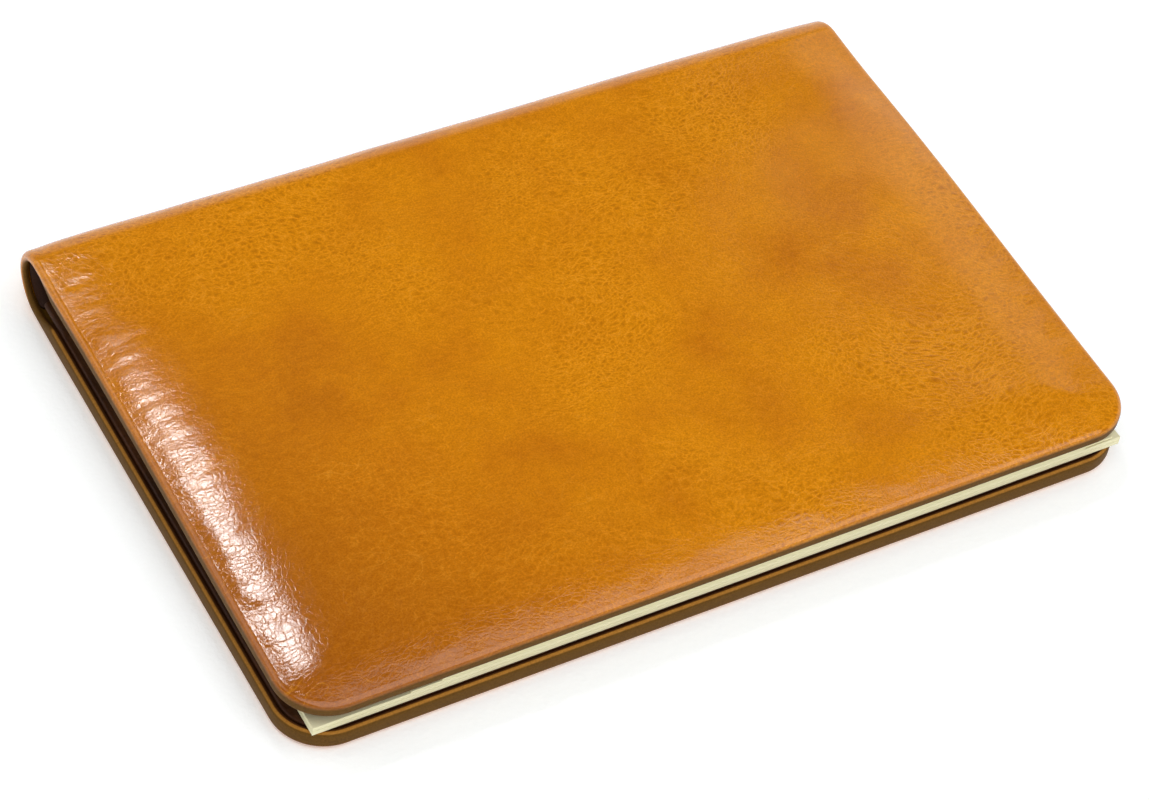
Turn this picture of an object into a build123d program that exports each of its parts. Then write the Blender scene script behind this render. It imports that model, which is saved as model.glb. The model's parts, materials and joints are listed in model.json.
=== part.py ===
"""Bifold business card case of turned-edge leather, lying closed on its back cover.

Frame: +X runs along the spine, +Y points to the spine, +Z up. The origin is on the
table, under the middle of the closed case. All sizes are in millimetres.
"""
from build123d import *
from math import asin, cos, degrees, radians, sin
import os

# Overall sizes of the closed case
case_length = 105.0  # along the spine
case_depth = 72.0  # from the front edge to the outside of the spine
closed_height = 9.3  # over the spine
corner_radius = 6.0  # the two front corners of each cover

# Sheets that a cover is made of, from the outside in
leather_thickness = 1.0
board_thickness = 0.5
turned_edge_thickness = 0.6  # the outer leather, skived where it is turned in
lining_thickness = 0.3
pocket_thickness = 0.5
spine_lining_thickness = 0.4

# Edges, margins and clearances
outside_round = 0.9  # the outer leather's edge, on the outside
rim_round = 0.5  # the same edge, on the inside
turned_edge_width = 6.0  # how far the turned edge reaches in, and the pocket's glued margin
pocket_inset = 0.9  # from the case's edge to the pocket panel's edge
pocket_edge_round = 0.2
pocket_mouth = 0.35  # from the start of the spine's curve to the pocket's open edge
fit_gap = 0.1  # round a board or a lining in the outer leather
bend_gap = 0.15  # between two pieces of leather that bend against each other

# The spine bends in strips, each as wide as the next
strip_names = ["lower", "middle", "upper"]

# Loose sheets that lie between the covers
sheet_gap = 0.05  # air between two loose sheets
filler_thickness = 0.58
filler_front_gap = 0.85  # from the case's front edge to the sheets' front edge
filler_side_gap = 1.95
filler_shift = 0.35  # along the spine
card_thickness = 0.22
card_side_spare = 4.0  # a card's play in a pocket, at each end
card_depth_spare = 6.0
card_end_gaps = [4.9, 1.3]  # from the filler's right end to each card's, lower card first
front_gap = 0.85  # from the top card to the front cover, at the front edge

# Worked out from the sizes above
spine_radius = closed_height / 2
spine_center = case_depth / 2 - spine_radius
front_edge = -case_depth / 2
rim_height = leather_thickness + board_thickness + turned_edge_thickness
cover_thickness = rim_height + pocket_thickness
pocket_length = case_length - 2 * turned_edge_width
filler_length = case_length - 2 * filler_side_gap
filler_level = cover_thickness + sheet_gap
card_level = filler_level + 2 * (filler_thickness + sheet_gap)
stack_top = card_level + 2 * card_thickness + sheet_gap
back_depth = spine_center - front_edge
droop_rise = closed_height - cover_thickness - stack_top - front_gap
droop = degrees(asin(droop_rise / back_depth))  # the front cover leans down on this angle
spine_arc = 180 + droop
bend = spine_arc / len(strip_names)  # turn from one strip to the next, when laid flat
front_start = spine_center - spine_radius * sin(radians(droop))
front_depth = (front_start - front_edge) / cos(radians(droop))
tangent_height = spine_radius * (1 + cos(radians(droop)))
pocket_depth = back_depth - turned_edge_width - pocket_mouth
card_length = pocket_length - 2 * card_side_spare
card_depth = pocket_depth - card_depth_spare
filler_depth = back_depth - pocket_mouth - filler_front_gap
plate_overhang = (spine_radius - leather_thickness) * sin(radians(bend / 4)) - bend_gap / 2

# Each cover is drawn on its outer face: local Y runs from the spine to the front edge,
# and local Z from the outer face to the inside of the case.
back_plane = Plane(origin=(0, spine_center, 0), x_dir=(-1, 0, 0), z_dir=(0, 0, 1))
front_plane = Plane(
    origin=(0, front_start, tangent_height),
    x_dir=(1, 0, 0),
    z_dir=(0, sin(radians(droop)), -cos(radians(droop))),
)


def cover_outline(inset, start, end, radius):
    """Rectangle from start to end, held in from the case's sides, round at the front."""
    with BuildSketch(mode=Mode.PRIVATE) as outline:
        with Locations((0, (start + end) / 2)):
            Rectangle(case_length - 2 * inset, end - start)
        fillet(outline.vertices().group_by(Axis.Y)[-1], radius=radius)
    return outline.sketch


def outer_leather(plane, depth):
    """Outer leather of one cover, with its edge turned in round three sides."""
    height = Axis(plane.origin, plane.z_dir)
    reach = Axis(plane.origin, plane.y_dir)
    turned_radius = max(corner_radius - turned_edge_width, rim_round)
    with BuildPart() as leather:
        with BuildSketch(plane):
            add(cover_outline(0, -plate_overhang, depth, corner_radius))
        extrude(amount=leather_thickness)
        with BuildSketch(plane.offset(leather_thickness)):
            add(cover_outline(0, 0, depth, corner_radius))
        extrude(amount=rim_height - leather_thickness)
        fillet(leather.edges().group_by(height)[0].sort_by(reach)[1:], radius=outside_round)
        fillet(leather.edges().group_by(height)[-1].sort_by(reach)[1:], radius=rim_round)
        with BuildSketch(plane.offset(leather_thickness)):
            add(
                cover_outline(
                    leather_thickness,
                    -plate_overhang,
                    depth - leather_thickness,
                    corner_radius - leather_thickness,
                )
            )
        extrude(amount=board_thickness, mode=Mode.SUBTRACT)
        with BuildSketch(plane.offset(leather_thickness + board_thickness)):
            add(
                cover_outline(
                    turned_edge_width,
                    -plate_overhang,
                    depth - turned_edge_width,
                    turned_radius,
                )
            )
        extrude(amount=turned_edge_thickness, mode=Mode.SUBTRACT)
    return leather


def flat_sheet(plane, level, thickness, inset, start, depth, radius):
    """Flat sheet of a cover, at a level above the outer face."""
    with BuildPart() as sheet:
        with BuildSketch(plane.offset(level)):
            add(cover_outline(inset, start, depth - inset, radius))
        extrude(amount=thickness)
    return sheet


def board(plane, depth):
    """Stiffener board, in the fold of the outer leather's turned edge."""
    inset = leather_thickness + fit_gap
    radius = corner_radius - inset
    return flat_sheet(plane, leather_thickness, board_thickness, inset, fit_gap, depth, radius)


def lining(plane, depth):
    """Lining, on the board and inside the turned edge."""
    level = leather_thickness + board_thickness
    inset = turned_edge_width + fit_gap
    radius = max(corner_radius - inset, rim_round)
    return flat_sheet(plane, level, lining_thickness, inset, fit_gap, depth, radius)


def pocket(plane, depth):
    """Pocket panel, glued to the turned edge on three sides and open to the spine."""
    height = Axis(plane.origin, plane.z_dir)
    with BuildPart() as panel:
        with BuildSketch(plane.offset(rim_height)):
            add(
                cover_outline(
                    pocket_inset,
                    pocket_mouth,
                    depth - pocket_inset,
                    corner_radius - pocket_inset,
                )
            )
        extrude(amount=pocket_thickness)
        fillet(panel.edges().group_by(height)[-1], radius=pocket_edge_round)
    return panel


def spine_strip(number, inner_radius, outer_radius):
    """One strip of the spine's curve, as long as the case."""
    trim = degrees(bend_gap / 2 / spine_radius)
    start = bend / 4 if number == 0 else bend * number
    end = spine_arc - bend / 4 if number == len(strip_names) - 1 else bend * (number + 1)
    center = (spine_center, spine_radius)
    with BuildPart() as strip:
        with BuildSketch(Plane.YZ.offset(-case_length / 2)):
            with BuildLine():
                outside = CenterArc(center, outer_radius, start + trim - 90, end - start - 2 * trim)
                inside = CenterArc(center, inner_radius, start + trim - 90, end - start - 2 * trim)
                Line(outside @ 0, inside @ 0)
                Line(outside @ 1, inside @ 1)
            make_face()
        extrude(amount=case_length)
    return strip


def loose_sheet(level, thickness, length, depth, right_end):
    """Flat sheet with square corners, its front edge in line with the filler's."""
    front = front_edge + filler_front_gap
    with BuildPart() as sheet:
        with BuildSketch(Plane.XY.offset(level)):
            with Locations((right_end - length / 2, front + depth / 2)):
                Rectangle(length, depth)
        extrude(amount=thickness)
    return sheet


def save(piece, name):
    """Label a finished piece and write it under its own name."""
    piece.part.label = name
    export_step(piece.part, f"parts/{name}.step")


os.makedirs("parts", exist_ok=True)

# The two covers
for side, plane, depth in [("back", back_plane, back_depth), ("front", front_plane, front_depth)]:
    save(outer_leather(plane, depth), f"outer_{side}")
    save(board(plane, depth), f"board_{side}")
    save(lining(plane, depth), f"lining_{side}")
    save(pocket(plane, depth), f"pocket_{side}")

# The spine between them, strip by strip from the back cover to the front cover
leather_inside = spine_radius - leather_thickness
lining_inside = leather_inside - spine_lining_thickness
for number, name in enumerate(strip_names):
    save(spine_strip(number, leather_inside, spine_radius), f"spine_outer_{name}")
    save(spine_strip(number, lining_inside, leather_inside), f"spine_lining_{name}")

# The loose filler sheets and cards on the back pocket
filler_end = filler_length / 2 + filler_shift
for number, name in enumerate(["lower", "upper"]):
    level = filler_level + number * (filler_thickness + sheet_gap)
    sheet = loose_sheet(level, filler_thickness, filler_length, filler_depth, filler_end)
    save(sheet, f"filler_sheet_{name}")
for number, name in enumerate(["lower", "upper"]):
    level = card_level + number * (card_thickness + sheet_gap)
    card_end = filler_end - card_end_gaps[number]
    card = loose_sheet(level, card_thickness, card_length, card_depth, card_end)
    save(card, f"business_card_{name}")
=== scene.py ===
"""Looks of a bifold business card case: a turned-edge leather skin, a lining, two pockets and cards.

Every mesh of the case's layers is modelled flat, in the leather's own pattern, and then folded round the
spine: X runs along the spine, S runs from the back cover's front edge to the front cover's, and N runs
inwards from the leather's outer face; the loose sheets are built in their CAD boxes. All sizes are in
metres.
"""

import json
import logging
import math
from dataclasses import dataclass, field
from enum import Enum
from typing import Callable, Iterable, Optional, Sequence, Union

import bmesh
import bpy
from mathutils import Matrix, Vector, noise


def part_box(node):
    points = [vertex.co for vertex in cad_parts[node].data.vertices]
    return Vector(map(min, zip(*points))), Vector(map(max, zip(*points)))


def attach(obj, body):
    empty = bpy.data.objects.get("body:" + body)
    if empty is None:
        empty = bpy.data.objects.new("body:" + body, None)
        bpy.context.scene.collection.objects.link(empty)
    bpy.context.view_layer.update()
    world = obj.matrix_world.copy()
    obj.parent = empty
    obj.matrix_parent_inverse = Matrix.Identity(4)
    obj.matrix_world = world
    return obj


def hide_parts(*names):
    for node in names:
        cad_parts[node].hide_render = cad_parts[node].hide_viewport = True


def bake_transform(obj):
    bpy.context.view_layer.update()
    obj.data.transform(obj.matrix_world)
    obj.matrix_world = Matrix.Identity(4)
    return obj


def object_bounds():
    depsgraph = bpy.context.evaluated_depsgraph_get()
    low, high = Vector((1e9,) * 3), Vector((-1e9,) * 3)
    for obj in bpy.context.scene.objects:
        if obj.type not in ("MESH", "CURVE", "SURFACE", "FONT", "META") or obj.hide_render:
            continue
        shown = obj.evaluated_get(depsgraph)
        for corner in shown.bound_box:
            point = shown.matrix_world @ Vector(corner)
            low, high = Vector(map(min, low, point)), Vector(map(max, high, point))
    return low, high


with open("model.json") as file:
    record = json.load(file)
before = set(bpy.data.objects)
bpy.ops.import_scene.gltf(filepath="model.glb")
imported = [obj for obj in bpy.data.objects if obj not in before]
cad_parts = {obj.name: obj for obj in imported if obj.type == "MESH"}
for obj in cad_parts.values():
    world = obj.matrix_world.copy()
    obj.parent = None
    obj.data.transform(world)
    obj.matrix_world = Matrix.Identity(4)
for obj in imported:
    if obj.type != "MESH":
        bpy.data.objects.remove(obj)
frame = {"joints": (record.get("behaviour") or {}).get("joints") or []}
CAD_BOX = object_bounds()

MM = 0.001
LOG = logging.getLogger("card_case")
PATTERN = "flat_pattern"
KEPT_NORMAL = "kept_normal"

TINY = 1e-9

Number = Union[int, float]
Colour = tuple[float, float, float, float]
Term = Union["Wire", Number]


def linear(red: int, green: int, blue: int) -> Colour:
    """Scene colour of a screen colour.

    Args:
        red: red of the screen colour, from 0 to 255.
        green: its green.
        blue: its blue.

    Returns:
        The same colour in linear light, with an alpha of 1.
    """
    shares = [channel / 255 for channel in (red, green, blue)]
    return (*[s / 12.92 if s <= 0.04045 else ((s + 0.055) / 1.055) ** 2.4 for s in shares], 1.0)


def smooth(value: float, low: float, high: float) -> float:
    """Smooth step.

    Args:
        value: where on the step.
        low: where the step starts.
        high: where it ends.

    Returns:
        0 before low, 1 after high, and a smooth rise between them.
    """
    share = min(max((value - low) / (high - low), 0.0), 1.0)
    return share * share * (3 - 2 * share)


# ---------------------------------------------------------------- shader maths


class Wire:
    """An output socket that can be used in arithmetic; each operation adds a Math node."""

    def __init__(self, graph: "Graph", socket: bpy.types.NodeSocket) -> None:
        """Wrap a socket of a graph."""
        self.graph = graph
        self.socket = socket

    def math(self, operation: str, *others: Term) -> "Wire":
        """Result of a Math node on this number and the others."""
        return self.graph.math(operation, self, *others)

    def __add__(self, other: Term) -> "Wire":
        """Sum."""
        return self.math("ADD", other)

    __radd__ = __add__

    def __sub__(self, other: Term) -> "Wire":
        """Difference."""
        return self.math("SUBTRACT", other)

    def __rsub__(self, other: Number) -> "Wire":
        """Difference from a plain number."""
        return self.graph.math("SUBTRACT", other, self)

    def __mul__(self, other: Term) -> "Wire":
        """Product."""
        return self.math("MULTIPLY", other)

    __rmul__ = __mul__

    def step(self, low: float, high: float) -> "Wire":
        """Smooth step from 0 at low to 1 at high.

        Args:
            low: where the step starts.
            high: where it ends.

        Returns:
            The stepped number.
        """
        ranged = self.graph.node(
            "ShaderNodeMapRange",
            {"interpolation_type": "SMOOTHSTEP"},
            {"Value": self, "From Min": low, "From Max": high},
        )
        return Wire(self.graph, ranged.outputs["Result"])


Input = Union[Wire, Number, Sequence[float]]


class Graph:
    """A material's node tree, with one method that adds every kind of node."""

    def __init__(self, owner: Union[str, bpy.types.World]) -> None:
        """Start the empty tree of a new material of that name, or of a world."""
        self.material = bpy.data.materials.new(owner) if isinstance(owner, str) else owner
        self.material.use_nodes = True
        self.tree = self.material.node_tree
        self.tree.nodes.clear()

    def node(
        self, kind: str, settings: Optional[dict] = None, inputs: Optional[dict] = None
    ) -> bpy.types.Node:
        """Add one node.

        Args:
            kind: the node's type.
            settings: properties set before its sockets; "stops" fills a colour ramp.
            inputs: the value or the wire of each socket, by the socket's name or number.

        Returns:
            The new node.
        """
        made = self.tree.nodes.new(kind)
        for key, value in (settings or {}).items():
            if key == "stops":
                self._fill_ramp(made.color_ramp, value)
            else:
                setattr(made, key, value)
        for key, value in (inputs or {}).items():
            socket = made.inputs[key]
            if isinstance(value, Wire):
                self.tree.links.new(value.socket, socket)
            else:
                socket.default_value = value
        return made

    @staticmethod
    def _fill_ramp(ramp: bpy.types.ColorRamp, stops: Sequence[tuple[float, Colour]]) -> None:
        """Set a colour ramp's stops.

        Args:
            ramp: the ramp.
            stops: the position and the colour of each stop.
        """
        while len(ramp.elements) < len(stops):
            ramp.elements.new(0.5)
        for element, (position, colour) in zip(ramp.elements, stops):
            element.position = position
            element.color = colour

    def math(self, operation: str, *values: Term) -> Wire:
        """Add a Math node on wires and numbers."""
        made = self.node("ShaderNodeMath", {"operation": operation}, dict(enumerate(values)))
        return Wire(self, made.outputs[0])

    def split(self, vector: Wire) -> list[Wire]:
        """The three parts of a vector."""
        made = self.node("ShaderNodeSeparateXYZ", None, {0: vector})
        return [Wire(self, output) for output in made.outputs]

    def stretch(self, where: Wire, x: float, s: float = 1.0, n: float = 1.0) -> Wire:
        """Coordinates multiplied along each axis, so that what is laid on them is drawn out."""
        return self.vector("MULTIPLY", where, (x, s, n))

    def pattern(self) -> Wire:
        """The piece's own flat pattern coordinates, in millimetres."""
        read = self.node("ShaderNodeAttribute", {"attribute_name": PATTERN})
        return self.vector("SCALE", Wire(self, read.outputs["Vector"]), scale=1 / MM)

    def vector(self, operation: str, first: Input, second: Input = (0, 0, 0), scale: float = 1.0) -> Wire:
        """Add a Vector Math node.

        Args:
            operation: the node's operation.
            first: its first vector.
            second: its second vector, which SCALE doesn't use.
            scale: the factor of SCALE.

        Returns:
            The resulting vector.
        """
        inputs: dict = {0: first}
        if operation == "SCALE":
            inputs["Scale"] = scale
        else:
            inputs[1] = second
        made = self.node("ShaderNodeVectorMath", {"operation": operation}, inputs)
        return Wire(self, made.outputs[0])

    def noise(self, where: Wire, scale: float, detail: float = 2.0, roughness: float = 0.5) -> Wire:
        """Soft noise from 0 to 1 with that many features a millimetre.

        Args:
            where: the coordinates, in millimetres.
            scale: features a millimetre.
            detail: how many finer layers it has.
            roughness: how strong they are.

        Returns:
            The noise.
        """
        made = self.node(
            "ShaderNodeTexNoise",
            {"noise_dimensions": "3D"},
            {"Vector": where, "Scale": scale, "Detail": detail, "Roughness": roughness},
        )
        return Wire(self, made.outputs["Fac"])

    def warp(self, where: Wire, scale: float, reach: float) -> Wire:
        """Coordinates pushed about by noise.

        Args:
            where: the coordinates, in millimetres.
            scale: features a millimetre of the noise.
            reach: how far a point is pushed at most, in millimetres.

        Returns:
            The pushed coordinates.
        """
        made = self.node("ShaderNodeTexNoise", None, {"Vector": where, "Scale": scale, "Detail": 2.0})
        centred = self.vector("SUBTRACT", Wire(self, made.outputs["Color"]), (0.5, 0.5, 0.5))
        return self.vector("ADD", where, self.vector("SCALE", centred, scale=2 * reach))

    def cells(self, where: Wire, scale: float) -> Wire:
        """Distance to the edges of irregular cells, that many to the millimetre.

        Args:
            where: the coordinates, in millimetres.
            scale: cells a millimetre.

        Returns:
            The distance, as a share of a cell.
        """
        made = self.node(
            "ShaderNodeTexVoronoi", {"feature": "DISTANCE_TO_EDGE"}, {"Vector": where, "Scale": scale}
        )
        return Wire(self, made.outputs["Distance"])

    def mix(self, factor: Input, first: Input, second: Input, blend: str = "MIX") -> Wire:
        """Mix two colours.

        Args:
            factor: the share of the second one.
            first: the first colour.
            second: the second colour.
            blend: how they are mixed.

        Returns:
            The mixed colour.
        """
        made = self.node(
            "ShaderNodeMix",
            {"data_type": "RGBA", "blend_type": blend},
            {0: factor, 6: first, 7: second},
        )
        return Wire(self, made.outputs[2])

    def ramp(self, factor: Wire, stops: Sequence[tuple[float, Colour]]) -> Wire:
        """Colour of a number on a ramp of (position, colour) stops."""
        made = self.node("ShaderNodeValToRGB", {"stops": stops}, {0: factor})
        return Wire(self, made.outputs["Color"])

    def bump(
        self, height: Wire, distance: float, strength: float = 1.0, below: Optional[Wire] = None
    ) -> Wire:
        """Normal of a height map.

        Args:
            height: the height, from 0 to 1.
            distance: what a height of 1 stands for, in metres.
            strength: how much of the bump is used.
            below: the normal of a coarser bump that this one lies on.

        Returns:
            The bumped normal.
        """
        inputs: dict = {"Height": height, "Distance": distance, "Strength": strength}
        if below is not None:
            inputs["Normal"] = below
        made = self.node("ShaderNodeBump", None, inputs)
        return Wire(self, made.outputs["Normal"])

    def shader(self, varying: dict[str, Wire], constant: dict[str, Input]) -> Wire:
        """Add a Principled shader.

        Args:
            varying: the wire of each socket that changes over the surface.
            constant: the value of each socket that doesn't.

        Returns:
            The shader.
        """
        made = self.node("ShaderNodeBsdfPrincipled", None, {**constant, **varying})
        return Wire(self, made.outputs[0])

    def mix_shaders(self, factor: Wire, first: Wire, second: Wire) -> Wire:
        """Go over from the first shader to the second."""
        made = self.node("ShaderNodeMixShader", None, {0: factor, 1: first, 2: second})
        return Wire(self, made.outputs[0])

    def close(self, surface: Wire) -> bpy.types.Material:
        """Wire a shader to the output and hand over the finished material."""
        self.node("ShaderNodeOutputMaterial", None, {"Surface": surface})
        return self.material

    def finish(self, varying: dict[str, Wire], constant: dict[str, Input]) -> bpy.types.Material:
        """Close the tree with one Principled shader, whose sockets are given as in shader."""
        return self.close(self.shader(varying, constant))


# ---------------------------------------------------------------- finishes


@dataclass(frozen=True)
class GlazedLeather:
    """Vegetable-tanned ochre leather, hand coloured and glazed, with pebbles and fine veins; painted shade
    darkens its front-left and its rim, and a painted highlight lines the rim's crest.
    """

    fold: "Fold"
    name: str = "glazed_ochre_leather"
    corner: float = 6.0
    deep: Colour = linear(160, 87, 10)
    body: Colour = linear(199, 118, 9)
    bright: Colour = linear(219, 138, 8)
    vein: Colour = linear(222, 148, 40)
    # Dark olive wall of the rim: partly the burnished edge's darker dye, partly painted shade near the
    # table.
    edge: Colour = linear(98, 66, 14)
    # Pale crest of the rim: a painted highlight where its rounded top would catch the light.
    crest: Colour = linear(170, 116, 44)
    # Turned-in strip inside the crest: the ochre leather painted dark brown as painted shade.
    turned: Colour = linear(78, 42, 16)
    edge_roughness: float = 0.6
    edge_gloss: float = 0.12
    edge_below: float = 0.85
    back_edge_below: float = 0.12
    crest_from: float = 2.3
    crest_width: float = 0.36
    roughness: float = 0.1
    gloss: float = 0.55
    cloud_size: float = 0.035
    patch_size: float = 0.12
    pebbles: float = 1.65
    fine_pebbles: float = 2.6
    pleats: float = 1.35
    relief: float = 0.009 * MM
    wrinkle_depth: float = 0.03 * MM
    pore_depth: float = 0.0005 * MM

    def material(self) -> bpy.types.Material:
        """Build the material.

        Returns:
            The material.
        """
        graph = Graph(self.name)
        where = graph.pattern()
        along, run, depth = graph.split(where)
        # Darker towards the front-left corner: partly the leather's own tone, partly painted shade where
        # the light falls off.
        tone_and_painted_falloff = (run * 0.7 - along).step(42.0, 112.0)

        flow = graph.warp(where, 0.05, 5.0)
        crumpled = graph.warp(graph.warp(flow, 0.3, 0.9), 1.1, 0.12)
        cell_edge = graph.cells(graph.stretch(crumpled, 0.66), self.pebbles)
        pebble = cell_edge.step(0.0, 0.15)
        dome = cell_edge.step(0.0, 0.5)
        coarse = graph.noise(where, self.cloud_size).step(0.4, 0.6) * (1 - tone_and_painted_falloff)
        streak = graph.noise(graph.stretch(flow, 0.5), 1.5, 4.0, 0.65)
        pores = graph.noise(where, 4.5, 3.0, 0.7)
        vein = self.veins(graph, where, flow)

        speck = (streak - 0.5) * 1.1 + (pores - 0.5) * 2.6 + 0.5
        speck = graph.mix(speck, (0.80, 0.76, 0.66, 1), (1.16, 1.18, 1.2, 1))
        colour = self.dye(graph, where, tone_and_painted_falloff)
        colour = graph.mix(dome * (0.08 + coarse * 0.5), colour, self.deep)
        groove = (1 - pebble) * streak.step(0.35, 0.65)
        colour = graph.mix(groove * (0.08 + coarse * 0.34), colour, self.vein)
        colour = graph.mix(vein * 0.35, colour, self.vein)
        colour = graph.mix(1.0, colour, speck, "MULTIPLY")
        roughness = self.roughness + (graph.noise(where, 0.8, 3.0) - 0.5) * 0.1 + (1 - pebble) * 0.08

        small = graph.cells(graph.warp(where, 0.8, 0.3), self.fine_pebbles).step(0.0, 0.22)
        height = pebble * 0.35 + dome * (0.1 + coarse * 0.4) + small * 0.15 + streak * 0.3 - vein * 0.2
        pulled = graph.stretch(graph.warp(where, 0.25, 1.0), 0.22)
        pleats = graph.noise(pulled, self.pleats, 2.0, 0.5)
        pleats = pleats * (0 - along).step(37.0, 50.0) * (1 - run.step(45.0, 72.0) * 0.6)
        normal = graph.bump(pleats, self.wrinkle_depth)
        normal = graph.bump(height, self.relief, 1.0, normal)
        normal = graph.bump(pores, self.pore_depth, 1.0, normal)
        glazed = graph.shader(
            {"Base Color": colour, "Roughness": roughness, "Normal": normal},
            {"Specular IOR Level": self.gloss},
        )
        # The rim's colour carries painted shade on its wall and turned-in strip, and a painted highlight
        # on its crest.
        rim_colour = graph.mix(1.0, self.rim_dye(graph, along, run, depth), speck, "MULTIPLY")
        rim = graph.shader(
            {"Base Color": rim_colour, "Normal": normal},
            {"Specular IOR Level": self.edge_gloss, "Roughness": self.edge_roughness},
        )
        front = run.step(-3.0, 5.0)
        low = front * (self.edge_below - self.back_edge_below) + self.back_edge_below
        return graph.close(graph.mix_shaders((depth - low).step(0.0, 0.6), glazed, rim))

    def dye(self, graph: Graph, where: Wire, tone_and_painted_falloff: Wire) -> Wire:
        """Hand-laid colour of the faces, in soft clouds, and darker towards the front-left corner: partly
        the dye's own tone, partly painted shade where the light falls off.

        Args:
            graph: the tree to add to.
            where: the pattern coordinates.
            tone_and_painted_falloff: how much a place is darkened towards the front-left, partly its own
                tone and partly painted shade of the light's fall-off.

        Returns:
            The colour.
        """
        clouds = graph.noise(where, self.cloud_size, 2.0, 0.5)
        patches = graph.noise(where, self.patch_size, 3.0, 0.5)
        tone = (clouds * 0.65 + patches * 0.35).step(0.09, 0.61) * (1 - tone_and_painted_falloff)
        return graph.ramp(tone, [(0.0, self.deep), (0.55, self.body), (1.0, self.bright)])

    def rim_dye(self, graph: Graph, along: Wire, run: Wire, depth: Wire) -> Wire:
        """Colour of the edges: a dark wall, partly darker edge dye and partly painted shade; a pale crest,
        which is a painted highlight; and the turned-in strip inside it, dark brown as painted shade.

        Args:
            graph: the tree to add to.
            along: place along the spine.
            run: place along S.
            depth: depth below the outer face.

        Returns:
            The colour.
        """
        # Painted highlight along the crest.
        painted_crest_highlight = depth.step(self.crest_from, self.crest_from + 0.12)
        # Painted shade on the turned-in strip inside the crest.
        inside = self.inset(graph, along, run).step(self.crest_width, self.crest_width + 0.16)
        return graph.mix(
            inside * depth.step(1.2, 1.6), graph.mix(painted_crest_highlight, self.edge, self.crest), self.turned
        )

    def veins(self, graph: Graph, where: Wire, flow: Wire) -> Wire:
        """Long thin lines that wander over the faces in places.

        Args:
            graph: the tree to add to.
            where: the pattern coordinates.
            flow: the same, softly pushed about.

        Returns:
            1 on a line, 0 beside it.
        """
        lines = graph.stretch(flow, 0.45)
        wide = self.contour(graph.noise(lines, 0.17, 2.0, 0.4), 0.5, 0.006)
        close = self.contour(graph.noise(lines, 0.3, 2.0, 0.4), 0.44, 0.008)
        return wide.math("MAXIMUM", close) * graph.noise(where, self.patch_size, 3.0).step(0.46, 0.64)

    def inset(self, graph: Graph, along: Wire, run: Wire) -> Wire:
        """Distance from the skin's edge, in millimetres, up to the corners' radius.

        Args:
            graph: the tree to add to.
            along: place along the spine.
            run: place along S.

        Returns:
            The distance.
        """
        fold, corner = self.fold, self.corner
        side = along.math("ABSOLUTE") - (fold.half_length / MM - corner)
        back = 0 - run - (fold.back_reach / MM - corner)
        front = run - ((fold.spine + fold.front_reach) / MM - corner)
        past = {"X": side.math("MAXIMUM", 0.0), "Y": back.math("MAXIMUM", front).math("MAXIMUM", 0.0)}
        reach = Wire(graph, graph.node("ShaderNodeCombineXYZ", None, past).outputs[0])
        length = graph.node("ShaderNodeVectorMath", {"operation": "LENGTH"}, {0: reach})
        return corner - Wire(graph, length.outputs["Value"])

    @staticmethod
    def contour(height: Wire, level: float, width: float) -> Wire:
        """Thin line where a soft height passes a level."""
        return 1 - (height - level).math("ABSOLUTE").step(0.0, width)


@dataclass(frozen=True)
class InnerLeather:
    """Thin leather of the pockets and the lining, coloured dark brown: a slightly browner tan, darkened as
    painted shade of the case's shaded inside.
    """

    name: str
    dark: Colour
    light: Colour
    pebbles: float
    roughness: float
    depth: float

    def material(self) -> bpy.types.Material:
        """Build the material.

        Returns:
            The material.
        """
        graph = Graph(self.name)
        where = graph.pattern()
        grain_at = graph.warp(where, 0.6, 0.5)
        pebble = graph.cells(grain_at, self.pebbles).step(0.0, 0.3)
        cloud = graph.noise(where, 0.12, 4.0, 0.6).step(0.3, 0.7)
        fine = graph.noise(where, 4.0, 3.0, 0.6)
        colour = graph.mix(cloud * 0.7 + fine * 0.3, self.dark, self.light)
        colour = graph.mix((1 - pebble) * 0.4, colour, self.dark)
        roughness = self.roughness + (fine - 0.5) * 0.2
        normal = graph.bump(pebble * 0.7 + fine * 0.3, self.depth, 0.6)
        return graph.finish(
            {"Base Color": colour, "Roughness": roughness, "Normal": normal},
            {"Specular IOR Level": 0.18},
        )


@dataclass(frozen=True)
class CardStock:
    """Uncoated cream card, with faint fibres and plies along its cut edges; its cream is made brighter and
    yellower, partly as painted warm bounce light from the leather.
    """

    name: str
    face: Colour
    shade: Colour
    ply: float

    def material(self) -> bpy.types.Material:
        """Build the material.

        Returns:
            The material.
        """
        graph = Graph(self.name)
        where = graph.pattern()
        fibre = graph.noise(graph.stretch(where, 1.0, 3.0, 6.0), 1.6, 4.0, 0.65)
        cloud = graph.noise(where, 0.15, 3.0)
        plies = (graph.split(where)[2] * (math.tau / self.ply)).math("SINE") * 0.5 + 0.5
        colour = graph.mix(fibre * 0.5 + cloud * 0.3 + plies * 0.2, self.shade, self.face)
        roughness = 0.78 + (fibre - 0.5) * 0.2
        normal = graph.bump(fibre * 0.6 + plies * 0.4, 0.012 * MM, 0.5)
        return graph.finish({"Base Color": colour, "Roughness": roughness, "Normal": normal}, {})


@dataclass(frozen=True)
class FibreBoard:
    """Grey-buff pressed board that stiffens the covers."""

    name: str = "pressed_fibre_board"
    pale: Colour = linear(168, 156, 132)
    dark: Colour = linear(128, 114, 92)

    def material(self) -> bpy.types.Material:
        """Build the material.

        Returns:
            The material.
        """
        graph = Graph(self.name)
        where = graph.pattern()
        chips = graph.noise(graph.stretch(where, 1.0, 2.2, 5.0), 1.2, 5.0, 0.7)
        colour = graph.mix(chips.step(0.3, 0.7), self.dark, self.pale)
        normal = graph.bump(chips, 0.03 * MM, 0.5)
        return graph.finish({"Base Color": colour, "Normal": normal}, {"Roughness": 0.85})


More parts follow.
